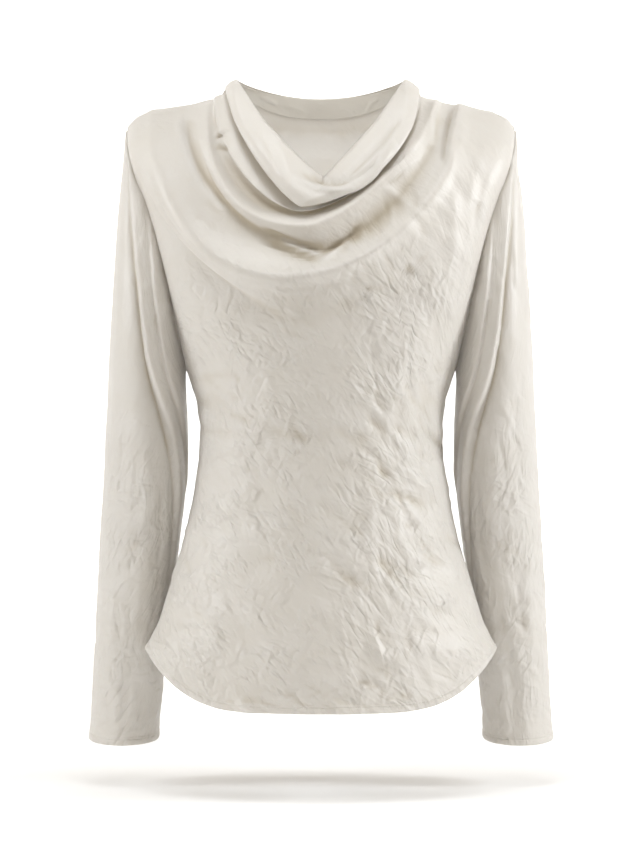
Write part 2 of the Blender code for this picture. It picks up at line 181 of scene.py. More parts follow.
def crush_group():
    """Node group: the crushed finish as a height, and a soft unevenness of colour, from cloth metres."""
    group = bpy.data.node_groups.new("crushed_satin", "ShaderNodeTree")
    sockets = group.interface
    sockets.new_socket("Cloth", in_out="INPUT", socket_type="NodeSocketVector")
    sockets.new_socket("Slant", in_out="INPUT", socket_type="NodeSocketFloat")
    sockets.new_socket("Height", in_out="OUTPUT", socket_type="NodeSocketFloat")
    sockets.new_socket("Tint", in_out="OUTPUT", socket_type="NodeSocketFloat")
    nodes, links = group.nodes, group.links
    start = nodes.new("NodeGroupInput")
    end = nodes.new("NodeGroupOutput")

    def turned(extra):
        """The cloth's coordinates, turned so that wrinkles at this slant run along x."""
        angle = nodes.new("ShaderNodeMath")
        angle.inputs[1].default_value = extra
        links.new(start.outputs["Slant"], angle.inputs[0])
        turn = nodes.new("ShaderNodeVectorRotate")
        turn.rotation_type = "Z_AXIS"
        links.new(start.outputs["Cloth"], turn.inputs["Vector"])
        links.new(angle.outputs[0], turn.inputs["Angle"])
        return turn

    def stretched_noise(across, along, detail, distortion, source):
        stretch = nodes.new("ShaderNodeMapping")
        stretch.inputs["Scale"].default_value = (1 / along, 1 / across, 1)
        links.new(source.outputs[0], stretch.inputs["Vector"])
        noise = nodes.new("ShaderNodeTexNoise")
        noise.inputs["Scale"].default_value = 1.0
        noise.inputs["Detail"].default_value = detail
        noise.inputs["Distortion"].default_value = distortion
        links.new(stretch.outputs["Vector"], noise.inputs["Vector"])
        return noise.outputs["Fac"]

    def patches(size, low):
        """A mask of soft patches, from low between them to 1 inside them."""
        mask = nodes.new("ShaderNodeMapRange")
        mask.interpolation_type = "SMOOTHSTEP"
        mask.inputs["From Min"].default_value = 0.40
        mask.inputs["From Max"].default_value = 0.60
        mask.inputs["To Min"].default_value = low
        links.new(stretched_noise(size, size * 1.3, 1.0, 0.4, start), mask.inputs["Value"])
        return mask.outputs["Result"]

    def math_node(operation, *values):
        node = nodes.new("ShaderNodeMath")
        node.operation = operation
        for socket, value in zip(node.inputs, values):
            if isinstance(value, float):
                socket.default_value = value
            else:
                links.new(value, socket)
        return node.outputs[0]

    # two sets of wrinkles cross at a small angle, each strongest in patches of its own
    steep = stretched_noise(0.0052, 0.0160, 0.5, 0.7, turned(0.28))
    level = stretched_noise(0.0062, 0.0180, 0.5, 0.7, turned(-0.30))
    cross = stretched_noise(0.0080, 0.0150, 0.4, 0.7, turned(1.35))
    wrinkles = math_node("MULTIPLY", steep, patches(0.042, 0.25))
    wrinkles = math_node("MULTIPLY_ADD", level, patches(0.055, 0.15), wrinkles)
    wrinkles = math_node("MULTIPLY_ADD", cross, patches(0.036, 0.10), wrinkles)
    parts = nodes.new("ShaderNodeSeparateXYZ")
    links.new(start.outputs["Cloth"], parts.inputs["Vector"])
    calm = nodes.new("ShaderNodeMapRange")
    calm.interpolation_type = "SMOOTHSTEP"
    calm.inputs["From Min"].default_value = -CALM_TO
    calm.inputs["From Max"].default_value = -CALM_FROM
    calm.inputs["To Min"].default_value = 1.0
    calm.inputs["To Max"].default_value = CALM_SHARE
    links.new(parts.outputs["Y"], calm.inputs["Value"])
    wrinkles = math_node("MULTIPLY", wrinkles, calm.outputs["Result"])
    grain = stretched_noise(0.0017, 0.0030, 1.5, 0.3, turned(0.0))
    threads = stretched_noise(WEAVE_PITCH, WEAVE_PITCH * 5, 0.0, 0.0, start)
    wrinkles = math_node("MULTIPLY_ADD", grain, 0.06, wrinkles)
    links.new(math_node("MULTIPLY_ADD", threads, 0.015, wrinkles), end.inputs["Height"])
    links.new(stretched_noise(0.03, 0.07, 2.0, 0.4, start), end.inputs["Tint"])
    return group


crush = crush_group()


def satin(name, light, shade, slant, crush_height):
    """Ivory satin for one piece, of colour light with a random mottle of shade over it. slant turns its wrinkles, and
    crush_height is how deep they are.
    """
    material = bpy.data.materials.new(name)
    material.use_nodes = True
    nodes, links = material.node_tree.nodes, material.node_tree.links
    shader = nodes["Principled BSDF"]
    cloth = nodes.new("ShaderNodeUVMap")
    cloth.uv_map = "cloth"
    finish = nodes.new("ShaderNodeGroup")
    finish.node_tree = crush
    finish.inputs["Slant"].default_value = slant
    links.new(cloth.outputs["UV"], finish.inputs["Cloth"])
    tint = nodes.new("ShaderNodeMapRange")
    tint.inputs["From Min"].default_value = 0.35
    tint.inputs["From Max"].default_value = 0.65
    links.new(finish.outputs["Tint"], tint.inputs["Value"])
    colour = nodes.new("ShaderNodeMix")
    colour.data_type = "RGBA"
    colour.inputs["A"].default_value = (*light, 1)
    colour.inputs["B"].default_value = (*shade, 1)
    strength = nodes.new("ShaderNodeMath")
    strength.operation = "MULTIPLY"
    strength.inputs[1].default_value = 0.25
    links.new(tint.outputs["Result"], strength.inputs[0])
    links.new(strength.outputs[0], colour.inputs["Factor"])
    # painted shade: deep in a fold the base colour is mixed towards a darker, warmer ivory, standing in for the shade
    # there and for the satin's colour reflected again and again
    hollow = nodes.new("ShaderNodeAttribute")
    hollow.attribute_name = "hollow"
    depth = nodes.new("ShaderNodeMath")
    depth.operation = "MULTIPLY"
    depth.inputs[1].default_value = PAINTED_FOLD_SHADE_SHARE
    links.new(hollow.outputs["Fac"], depth.inputs[0])
    painted_fold_shade_mix = nodes.new("ShaderNodeMix")
    painted_fold_shade_mix.data_type = "RGBA"
    painted_fold_shade_mix.inputs["B"].default_value = (*PAINTED_FOLD_SHADE, 1)
    links.new(depth.outputs[0], painted_fold_shade_mix.inputs["Factor"])
    links.new(colour.outputs["Result"], painted_fold_shade_mix.inputs["A"])
    links.new(painted_fold_shade_mix.outputs["Result"], shader.inputs["Base Color"])
    bump = nodes.new("ShaderNodeBump")
    bump.inputs["Strength"].default_value = 1.0
    bump.inputs["Distance"].default_value = crush_height
    links.new(finish.outputs["Height"], bump.inputs["Height"])
    links.new(bump.outputs["Normal"], shader.inputs["Normal"])
    shader.inputs["Roughness"].default_value = 0.5
    shader.inputs["Specular IOR Level"].default_value = 0.5
    shader.inputs["Coat Weight"].default_value = 0.32
    shader.inputs["Coat Roughness"].default_value = 0.36
    shader.inputs["Sheen Weight"].default_value = 0.55
    shader.inputs["Sheen Roughness"].default_value = 0.45
    through = nodes.new("ShaderNodeBsdfTranslucent")
    through.inputs["Color"].default_value = (*LIGHT_THROUGH, 1)
    links.new(bump.outputs["Normal"], through.inputs["Normal"])
    both = nodes.new("ShaderNodeMixShader")
    both.inputs["Fac"].default_value = GLOW_THROUGH
    links.new(shader.outputs["BSDF"], both.inputs[1])
    links.new(through.outputs["BSDF"], both.inputs[2])
    links.new(both.outputs["Shader"], nodes["Material Output"].inputs["Surface"])
    return material


# Front panel. Cut on the bias in one piece with its cowl, whose top edge is turned in at the neckline. It
# is pleated into both shoulder seams, and the cloth between them falls in four soft rolls.
MM = 0.001
CLOTH = 0.7
FRONT_COLUMNS = 216
TRUNK_ROWS = 76
HEM_ROWS = 20
HEM_SHARE = 0.035
ROWS_BETWEEN_SWAGS = 6
SHOULDER_ROUNDING = 120
HEM_CORNER = -547
FRONT_TAIL = 55
TAIL_FLAT_HALF_WIDTH = 50
TAIL_POWER = 3.2

SeamPoint = namedtuple("SeamPoint", "half_width height forward")
SEAM = (
    SeamPoint(84, 12.5, 0),
    SeamPoint(94, 5.5, 0),
    SeamPoint(104, 0, 0),
    SeamPoint(118, -2.6, 0),
    SeamPoint(144, -7, 0),
    SeamPoint(170, -12, 0),
    SeamPoint(184.5, -18, 0),
    SeamPoint(193.2, -27.5, 0),
    SeamPoint(192.6, -45, 15),
    SeamPoint(187.5, -67, 27),
    SeamPoint(176, -94, 40),
    SeamPoint(166, -123, 47),
    SeamPoint(158, -152, 50),
    SeamPoint(149, -192, 45),
    SeamPoint(142, -231, 30),
    SeamPoint(136, -258, 12),
    SeamPoint(134, -270, 0),
    SeamPoint(124, -300, 0),
    SeamPoint(120.5, -330, 0),
    SeamPoint(122, -360, 0),
    SeamPoint(128, -400, 0),
    SeamPoint(137, -440, 1),
    SeamPoint(149, -480, 4),
    SeamPoint(161, -520, 8),
    SeamPoint(174.5, HEM_CORNER, 12),
)
TIP = 7
UNDERARM = 16

Girth = namedtuple("Girth", "height front back power")
GIRTHS = (
    Girth(20, 45, 52, 2.3),
    Girth(0, 58, 66, 2.3),
    Girth(-50, 76, 84, 2.3),
    Girth(-100, 92, 94, 2.3),
    Girth(-150, 105, 96, 2.3),
    Girth(-200, 113, 94, 2.3),
    Girth(-250, 114, 89, 2.2),
    Girth(-300, 107, 80, 2.1),
    Girth(-335, 102, 75, 2.1),
    Girth(-400, 103, 79, 2.0),
    Girth(-450, 108, 88, 1.9),
    Girth(-500, 114, 97, 1.8),
    Girth(-550, 119, 103, 1.7),
    Girth(-615, 122, 106, 1.7),
)

# The cowl row by row, from the neck edge down. Runs are distances along the shoulder seam and armhole from
# the neck point, low is the row's lowest point, round is 1 for a V and 2 for an ellipse, and lift is how
# far the cloth stands off the body.
Swag = namedtuple("Swag", "left_run right_run low_x low_z left_round right_round end_lift low_lift")
SWAGS = (
    Swag(0, 0, 2, -85, 1.12, 1.06, 8.0, 5),
    Swag(6, 6, -2, -101, 1.33, 1.40, 9.0, 15),
    Swag(10, 12, -12, -109, 1.30, 1.60, 9.0, 17),
    Swag(14, 17, -19, -115, 1.30, 1.75, 7.2, 11),
    Swag(12, 14.5, -18.5, -111, 1.30, 1.75, 5.0, 4),
    Swag(9.5, 12, -17, -106.5, 1.30, 1.70, 2.8, -2),
    Swag(12.5, 13.0, -17, -113, 1.35, 1.70, 1.0, -6),
    Swag(19, 15.0, -18, -117, 1.52, 1.68, 3.0, -1),
    Swag(25, 16.5, -19, -119, 1.70, 1.66, 3.6, 2),
    Swag(26.5, 17.5, -19, -117, 1.74, 1.64, 1.2, -3),
    Swag(28.5, 21, -17, -123, 2.12, 1.55, 1.6, -4),
    Swag(33, 33, -14.5, -132, 2.50, 1.45, 1.4, 14.5),
    Swag(39, 38, -8, -141, 2.35, 1.45, 1.0, 9),
    Swag(50, 46, 2, -156, 2.00, 1.50, 0.0, 0),
    Swag(72, 53, -20, -171, 2.05, 1.75, 0.6, 9),
    Swag(88, 60, -38, -185, 2.10, 1.90, 1.6, 20.5),
    Swag(98, 72, -34, -195, 1.95, 1.90, 0.8, 11),
    Swag(108, 92, -28, -206, 1.75, 1.80, 0.5, 6),
    Swag(150, 140, -20, -224, 1.40, 1.45, 0, 1.5),
    Swag(230, 225, -10, -243, 1.50, 1.50, 0, 0.3),
    Swag(320, 320, -4, -265, 1.80, 1.80, 0, 0),
)


def column(table, name):
    return np.array([getattr(row, name) for row in table], float)


def curve(keys, values, at):
    """A smooth curve through a table's points, with keys in rising or falling order."""
    if keys[0] > keys[-1]:
        keys, at = -keys, -np.asarray(at, float)
    slopes = np.gradient(values, keys)
    at = np.clip(at, keys[0], keys[-1])
    low = np.clip(np.searchsorted(keys, at, side="right") - 1, 0, len(keys) - 2)
    width = keys[low + 1] - keys[low]
    share = (at - keys[low]) / width
    rise = values[low + 1] - values[low]
    start, stop = slopes[low] * width, slopes[low + 1] * width
    return values[low] + share * (
        start + share * (3 * rise - 2 * start - stop + share * (start + stop - 2 * rise))
    )


def smooth(share):
    share = np.clip(share, 0.0, 1.0)
    return share * share * (3.0 - 2.0 * share)


seam_points = np.stack([column(SEAM, name) for name in SeamPoint._fields], axis=1)
RUNS = np.concatenate([[0.0], np.cumsum(np.linalg.norm(np.diff(seam_points, axis=0), axis=1))])
TIP_RUN, UNDERARM_RUN = RUNS[TIP], RUNS[UNDERARM]


def seam_at(run):
    return [np.interp(run, RUNS, seam_points[:, k]) for k in range(3)]


def shoulder_height(x):
    return np.interp(np.abs(x), seam_points[: TIP + 1, 0], seam_points[: TIP + 1, 1])


def side_at(height):
    side = seam_points[TIP:]
    return np.interp(-height, -side[:, 1], side[:, 0]), np.interp(-height, -side[:, 1], side[:, 2])


def girth_at(height, name):
    return np.interp(-height, -column(GIRTHS, "height"), column(GIRTHS, name))


def oval(share, power):
    return np.maximum(0.0, 1.0 - np.minimum(1.0, np.abs(share)) ** power) ** (1.0 / power)


def rounding(below, collar=0.0):
    share = np.clip(below / SHOULDER_ROUNDING, 0.0, 1.0)
    shoulder = (1.0 - (1.0 - share) ** 2.4) ** (1.0 / 2.4)
    standing = 1.0 - (1.0 - share) ** 1.7
    return shoulder + (standing - shoulder) * collar


def front_depth(x, height):
    half_width, forward = side_at(height)
    section = oval(x / half_width, girth_at(height, "power"))
    full = girth_at(height, "front") - forward
    return forward + full * section * rounding(shoulder_height(x) - height)


def cowl_grid():
    """Points of the cowl, rows down and columns across, from the neck edge to the lower chest."""
    count = len(SWAGS)
    at = np.linspace(0, count - 1, (count - 1) * ROWS_BETWEEN_SWAGS + 1)[:-1]
    keys = np.arange(count, dtype=float)
    row = {name: curve(keys, column(SWAGS, name), at)[:, None] for name in Swag._fields}
    across = np.linspace(-1, 1, FRONT_COLUMNS + 1)[None, :]
    left = across < 0
    run = np.where(left, row["left_run"], row["right_run"])
    roundness = np.where(left, row["left_round"], row["right_round"])
    width, height, forward = seam_at(run)
    end_x = np.where(left, -width, width)
    angle = (1 - np.abs(across)) * math.pi / 2
    sine, cosine = np.sin(angle), np.cos(angle).clip(0, 1)
    x = row["low_x"] + (end_x - row["low_x"]) * cosine ** (2 / roundness)
    z = height + (row["low_z"] - height) * sine ** (2 / roundness)
    lift = row["end_lift"] + (row["low_lift"] - row["end_lift"]) * sine**0.9
    lean = math.pi / 2 * smooth(0.15 + (shoulder_height(x) - z) / 55.0)
    at_end = np.abs(across) == 1
    lean = np.where(at_end & (forward == 0), 0.0, lean)
    return np.stack([x, -front_depth(x, z) - lift * np.sin(lean), z + lift * np.cos(lean)], axis=2)


def hem_height(x, half_width, tail):
    share = np.clip((np.abs(x) - TAIL_FLAT_HALF_WIDTH) / (half_width - TAIL_FLAT_HALF_WIDTH), 0, 1)
    return HEM_CORNER - tail * (1.0 - share**TAIL_POWER)


def crowded_end(rows):
    """Shares from 0 to 1, evenly spaced but for the last few, which are close enough to shape a hem."""
    return np.concatenate([np.linspace(0, 1 - HEM_SHARE, rows), np.linspace(1 - HEM_SHARE, 1, HEM_ROWS + 1)[1:]])


def trunk_grid(columns, tail, depth_at, facing):
    """Points of a panel from the underarm to its hem. facing is -1 for the front and 1 for the back."""
    share = crowded_end(TRUNK_ROWS)[:, None]
    end_height = SEAM[UNDERARM].height + (HEM_CORNER - SEAM[UNDERARM].height) * share
    half_width = side_at(end_height)[0]
    x = -half_width * np.cos(math.pi * np.arange(columns + 1) / columns)[None, :]
    drop = hem_height(x, half_width, tail) - HEM_CORNER
    z = end_height + drop * smooth((share - 0.15) / 0.85)
    return np.stack([x, facing * depth_at(x, z), z], axis=2)


def grid_normals(points, outward=1, closed=False):
    """Unit normals of a grid of points, on its face (outward 1) or its other side (-1). closed says that
    its columns run round a tube."""
    if closed:
        wrapped = np.concatenate([points[:, -1:], points, points[:, :1]], axis=1)
        across = (wrapped[:, 2:] - wrapped[:, :-2])
    else:
        across = np.gradient(points, axis=1)
    down = np.gradient(points, axis=0)
    normals = np.cross(down, across)
    return outward * normals / np.maximum(np.linalg.norm(normals, axis=2, keepdims=True), 1e-9)


def soften(points, passes, closed=False):
    """Evens out a grid's inner points, as cloth does, and leaves its edges where they are."""
    for _ in range(passes):
        inner = points[1:-1]
        if closed:
            beside = np.roll(points, 1, axis=1)[1:-1] + np.roll(points, -1, axis=1)[1:-1]
            points[1:-1] = 0.5 * inner + 0.125 * (points[:-2] + points[2:] + beside)
        else:
            near = points[:-2, 1:-1] + points[2:, 1:-1] + points[1:-1, :-2] + points[1:-1, 2:]
            points[1:-1, 1:-1] = 0.5 * points[1:-1, 1:-1] + 0.125 * near
    return points


def body_metres(points, depth_at, top_at):
    """Where each point of a body panel lay in the flat cloth: the way round from the middle, and the way
    down from the panel's upper edge, both over the plain body under the folds."""
    x, z = points[:, :, 0], points[:, :, 2]
    top = np.maximum(top_at(x), z)
    share = np.linspace(0, 1, 20)[:, None, None]
    round_y = depth_at(x * share, z + 0 * share)
    down_z = top + (z - top) * share
    down_y = depth_at(x * side_at(down_z)[0] / side_at(z)[0], down_z)
    around = np.hypot(x / 19, np.diff(round_y, axis=0)).sum(axis=0) * np.sign(x)
    down = np.hypot((z - top) / 19, np.diff(down_y, axis=0)).sum(axis=0)
    return np.stack([around, top - down], axis=2) * MM


def tube_metres(points):
    """Where each point of a sleeve lay in the flat cloth: the way round from its seam, and the way down."""
    across = np.linalg.norm(np.diff(points, axis=1), axis=2)
    along = np.concatenate([np.zeros((len(points), 1)), np.cumsum(across, axis=1)], axis=1)
    along -= along[:, along.shape[1] // 2][:, None]
    down = np.linalg.norm(np.diff(points, axis=0), axis=2)
    fallen = np.concatenate([np.zeros((1, points.shape[1])), np.cumsum(down, axis=0)], axis=0)
    return np.stack([along, -fallen.mean(axis=1, keepdims=True) + 0 * along], axis=2) * MM


HEM_WIDTH = 7.0
HEM_THICKNESS = 0.7


def edge_distance(points):
    """How far each point of a grid is from its last row, along the cloth."""
    steps = np.linalg.norm(np.diff(points, axis=0), axis=2)
    from_end = np.cumsum(steps[::-1], axis=0)[::-1]
    return np.concatenate([from_end, np.zeros((1, points.shape[1]))], axis=0)


def hem_heights(points):
    """Height of the turned-up hem: double cloth below a sewn groove, a little drawn in by its thread."""
    distance = edge_distance(points)
    doubled = HEM_THICKNESS * (1 - smooth((distance - HEM_WIDTH) / 1.2))
    groove = 0.8 * np.exp(-(((distance - HEM_WIDTH + 1.0) / 0.8) ** 2))
    rolled = 0.5 * np.exp(-((distance / 0.8) ** 2))
    return doubled - groove - rolled


# the painted shade in folds: the cloth is evened out over HOLLOW_PASSES passes, and the shade starts HOLLOW_FROM mm
# below that and is full HOLLOW_DEPTH mm further down
HOLLOW_PASSES = 90
HOLLOW_FROM = 0.3
HOLLOW_DEPTH = 4.0

# Creases are listed one by one. Each runs from one point to another of the panel as seen from the front, bent
# by bow to one side. A ridge is positive and a trough negative; sizes are millimetres.
Crease = namedtuple("Crease", "x0 z0 x1 z1 bow width height")


def crease_heights(x, z, creases):
    """Height of all the creases at each point, each fading out at its ends."""
    total = np.zeros_like(x)
    for crease in creases:
        start = np.array([crease.x0, crease.z0], float)
        end = np.array([crease.x1, crease.z1], float)
        length = np.linalg.norm(end - start)
        along = (end - start) / length
        side = np.array([-along[1], along[0]])
        dx, dz = x - start[0], z - start[1]
        share = (dx * along[0] + dz * along[1]) / length
        off = dx * side[0] + dz * side[1] - crease.bow * 4 * share * (1 - share)
        near = (share > -0.1) & (share < 1.1) & (np.abs(off) < 4 * crease.width)
        fade = smooth((share[near] + 0.1) / 0.35) * smooth((1.1 - share[near]) / 0.35)
        total[near] += crease.height * fade * np.exp(-((off[near] / crease.width) ** 2))
    return total


FRONT_CREASES = (
    # the left strip laid over the right at the point of the V
    Crease(-6, -77, 14, -93, 1, 1.2, -1.2),
    Crease(-16, -72, 10, -93, 1, 2.5, 1.0),
    # the band's inner fold, and the soft ridge that runs up its left side
    Crease(-28, -85, 66, -62, -26, 2.6, 3.0),
    Crease(-26, -77, 62, -54, -26, 3.0, -3.0),
    Crease(-52, -34, -30, -84, 2, 2.6, 1.8),
    Crease(-60, -40, -38, -88, 2, 3.0, -1.4),
    # the thin fold from the left shoulder down to the third roll
    Crease(-139, -16, -97, -116, -12, 2.4, 3.4),
    Crease(-133, -18, -90, -114, -12, 3.8, -2.0),
    # the rolled rim along the right side of the band
    Crease(79, -22, 17, -92, 4, 2.2, -2.4),
    Crease(84, -26, 22, -96, 4, 3.0, 1.4),
    # pleats from the right shoulder seam
    Crease(134, -4, 119, -72, -3, 2.2, -2.6),
    Crease(140, -4, 126, -78, -3, 3.2, 2.0),
    Crease(115, -2, 106, -44, -2, 3.2, 1.8),
    Crease(121, -2, 112, -50, -2, 3.0, -1.4),
    Crease(128, -96, 126, -176, 2, 6.0, 1.4),
    Crease(165, -60, 150, -150, -4, 4.0, -1.4),
    # the pinched V between the third and fourth rolls
    Crease(-104, -164, 12, -175, -12, 2.4, 1.5),
    Crease(8, -176, 96, -117, -9, 2.4, 1.5),
    Crease(-56, -136, 2, -157, -2, 3.0, -5.0),
    Crease(38, -133, 2, -157, 3, 3.0, -4.5),
    Crease(-58, -146, -2, -168, -2, 2.6, -3.0),
    Crease(-46, -142, 0, -163, -2, 2.4, 2.6),
    Crease(26, -146, 0, -168, 2, 3.0, 2.0),
    # the pinch at the left end of the second strip, and the gathers at the right
    Crease(-104, -44, -92, -41, 1, 2.2, -2.6),
    Crease(-101, -40, -91, -37, 1, 2.2, 1.6),
    Crease(-104, -54, -90, -58, 1, 2.6, -2.0),
    Crease(60, -82, 92, -58, 2, 1.8, -1.8),
    Crease(66, -92, 94, -66, 2, 1.8, 1.5),
    Crease(58, -96, 80, -80, -2, 1.8, -1.5),
)


# The crushed finish that is large enough to cast its own small shadows: short soft wrinkles scattered over
# the cloth, most on the slant. A patch gathers count of them round a place, so that they lie uneven.
Patch = namedtuple("Patch", "x z wide tall count slant length width height")
FRONT_CRUSH = (
    Patch(-20, -400, 110, 200, 380, -35, 24, 3.6, 0.70),
    Patch(75, -330, 36, 180, 430, -46, 24, 3.2, 0.95),
    Patch(100, -300, 20, 120, 120, -65, 24, 3.2, 0.85),
    Patch(70, -480, 50, 110, 320, -36, 26, 3.4, 1.00),
    Patch(0, -590, 110, 30, 200, -22, 26, 3.2, 0.90),
    Patch(-70, -300, 40, 60, 90, -30, 24, 3.4, 0.75),
    Patch(-110, -520, 30, 90, 120, -50, 24, 3.4, 0.85),
    Patch(60, -200, 60, 25, 110, -20, 20, 3.0, 0.80),
    Patch(145, -90, 30, 60, 80, -68, 18, 3.0, 0.50),
    Patch(-140, -100, 30, 60, 60, 66, 20, 3.2, 0.40),
)
BACK_CRUSH = (
    Patch(0, -310, 150, 300, 620, -35, 20, 3.0, 0.55),
    Patch(-60, -360, 50, 180, 380, -42, 18, 2.6, 0.80),
    Patch(50, -520, 60, 100, 300, -32, 20, 2.8, 0.75),
)
SLEEVE_CRUSH = {
    -1: (
        Patch(-185, -330, 50, 330, 380, 80, 26, 2.8, 0.50),
        Patch(-150, -180, 16, 60, 110, 8, 13, 2.4, 0.60),
        Patch(-190, -560, 40, 100, 160, 45, 18, 2.8, 0.55),
    ),
    1: (
        Patch(185, -330, 50, 330, 420, -76, 26, 2.8, 0.60),
        Patch(150, -180, 16, 60, 110, -8, 13, 2.4, 0.60),
        Patch(190, -500, 40, 150, 300, -55, 18, 2.6, 0.70),
    ),
}


def crushing(points, patches, arm=False):
    """Height of the scattered wrinkles at each point of a grid. On an arm they go round front and back."""
    x, y, z = points[:, :, 0], points[:, :, 1], points[:, :, 2]
    total = np.zeros_like(x)
    chance = np.random.default_rng(len(patches) + int(arm))
    for patch in patches:
        for _ in range(patch.count):
            middle_x = patch.x + chance.normal() * patch.wide * 0.7
            middle_z = patch.z + chance.normal() * patch.tall * 0.6
            slant = math.radians(patch.slant + chance.normal() * 16)
            length = patch.length * chance.uniform(0.5, 1.5)
            width = patch.width * chance.uniform(0.7, 1.4)
            height = patch.height * chance.normal() * 0.8
            behind = arm and chance.random() < 0.5
            near = (np.abs(x - middle_x) < length + 4) & (np.abs(z - middle_z) < length + 4)
            if arm:
                near &= (y > 20) if behind else (y <= 20)
            if not near.any():
                continue
            dx, dz = x[near] - middle_x, z[near] - middle_z
            along = dx * math.cos(slant) + dz * math.sin(slant)
            off = -dx * math.sin(slant) + dz * math.cos(slant)
            off = off + along * along / length * chance.uniform(-0.25, 0.25)
            total[near] += height * np.exp(-((along / length * 2) ** 2) - (off / width) ** 2)
    return total



def hollows(points, outward, closed):
    """How deep in a fold each point lies, 0 to 1: how far it is below the evened-out cloth round it. The satin paints
    shade into the folds by it.
    """
    even = soften(points.copy(), HOLLOW_PASSES, closed)
    below = ((even - points) * grid_normals(points, outward, closed)).sum(axis=2)
    return np.clip((below - HOLLOW_FROM) / HOLLOW_DEPTH, 0, 1)


def hang_cloth(name, points, places, material, node, outward=1, closed=False):
    """Makes a thin cloth shell from a grid of points, with their places in the flat cloth as its UVs."""
    rows, columns = points.shape[:2]
    sunk = hollows(points, outward, closed)
    if closed:
        points = np.concatenate([points, points[:, :1]], axis=1)
        places = tube_metres(points)
        sunk = np.concatenate([sunk, sunk[:, :1]], axis=1)
        columns += 1
    grid = bmesh.new()
    bmesh.ops.create_grid(grid, x_segments=columns - 1, y_segments=rows - 1, size=1.0)
    half_across, half_down = (columns - 1) / 2, (rows - 1) / 2
    uv_layer = grid.loops.layers.uv.new("cloth")
    # each point's depth in its fold, by which the satin paints shade
    hollow_layer = grid.verts.layers.float.new("hollow")
    for vert in grid.verts:
        step = round((vert.co.x + 1) * half_across)
        row = round((1 - vert.co.y) * half_down)
        vert.co = points[row, step] * MM
        vert[hollow_layer] = sunk[row, step]
        for loop in vert.link_loops:
            loop[uv_layer].uv = places[row, step]
    if closed:
        bmesh.ops.remove_doubles(grid, verts=grid.verts, dist=1e-7)
    if outward < 0:
        bmesh.ops.reverse_faces(grid, faces=grid.faces)
    mesh = bpy.data.meshes.new(name)
    grid.to_mesh(mesh)
    grid.free()
    mesh.shade_smooth()
    mesh.materials.append(material)
    piece = bpy.data.objects.new(name, mesh)
    bpy.context.scene.collection.objects.link(piece)
    wall = piece.modifiers.new("cloth", "SOLIDIFY")
    wall.thickness = CLOTH * MM
    wall.offset = 0.0
    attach(piece, "root")
    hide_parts(node)
    return piece


front_points = np.concatenate([cowl_grid(), trunk_grid(FRONT_COLUMNS, FRONT_TAIL, front_depth, -1)])
soften(front_points, 3)
front_plain = front_points.copy()
front_heights = crease_heights(front_points[:, :, 0], front_points[:, :, 2], FRONT_CREASES)
front_heights += crushing(front_points, FRONT_CRUSH) + hem_heights(front_points)
front_points += grid_normals(front_points) * front_heights[:, :, None]
front_satin = satin("front_satin", IVORY, MOTTLE_AND_SHADE_IVORY, math.radians(42), 0.0025)
front_places = body_metres(front_plain, front_depth, shoulder_height)
front = hang_cloth("front_panel_cloth", front_points, front_places, front_satin, "front_panel")

# Back panel. Cut in one piece of the same satin and sewn to the front at the shoulders and sides, with a
# round neck. It hangs nearly plain, with drag lines from the armholes and small folds above the hem.
BACK_COLUMNS = 216
BACK_ARM_ROWS = 96
BACK_NECK_SHARE = 0.62
BACK_TAIL = 62
BACK_NECK_DROP = 13
BACK_NECK_DEPTH = 56
NECK_ROUNDS_OFF = 2.0
NECK_ROUNDS_BY = 70
NECK_FADES_FROM = 60
NECK_FADE = 80
PLEAT_STACK = 8
SEAM_TUCK = 0.5

BACK_CREASES = (
    Crease(-150, -150, -96, -176, 4, 5, 1.3),
    Crease(-146, -170, -88, -204, 5, 6, -1.4),
    Crease(-140, -196, -92, -232, 4, 6, 1.2),
    Crease(150, -146, 92, -178, -4, 5, 1.4),
    Crease(147, -172, 96, -200, -5, 6, -1.3),
    Crease(141, -200, 84, -240, -4, 6, 1.2),
    Crease(-60, -300, 46, -312, -5, 7, -1.0),
    Crease(-70, -322, 62, -330, -4, 8, 1.1),
    Crease(-48, -346, 70, -350, 4, 8, -1.0),
    Crease(-30, -22, -74, -70, 3, 5, 0.9),
    Crease(34, -24, 78, -78, -3, 5, 0.9),
    Crease(-112, -470, -96, -590, 6, 9, 1.6),
    Crease(-50, -480, -44, -606, -5, 10, -1.5),
    Crease(8, -500, 14, -608, 4, 11, 1.4),
    Crease(66, -470, 72, -604, -6, 10, -1.5),
    Crease(118, -462, 104, -586, -5, 9, 1.5),
)


def shoulder_stack(run):
    return PLEAT_STACK * (1.0 - smooth((run - 10.0) / 12.0))


def back_top(x):
    """Height and depth of the back's upper edge: the neckline, then the shoulders."""
    neck = SEAM[0].half_width
    share = np.clip(x / neck, -1, 1)
    rise = SEAM[0].height + shoulder_stack(0.0) - BACK_NECK_DROP * (1.0 - share**2)
    run = np.interp(np.abs(x), seam_points[: TIP + 1, 0], RUNS[: TIP + 1])
    shoulder = shoulder_height(x) + shoulder_stack(run)
    inside = np.abs(x) < neck
    return np.where(inside, rise, shoulder), np.where(inside, BACK_NECK_DEPTH * np.sqrt(1 - share**2), 0.0)


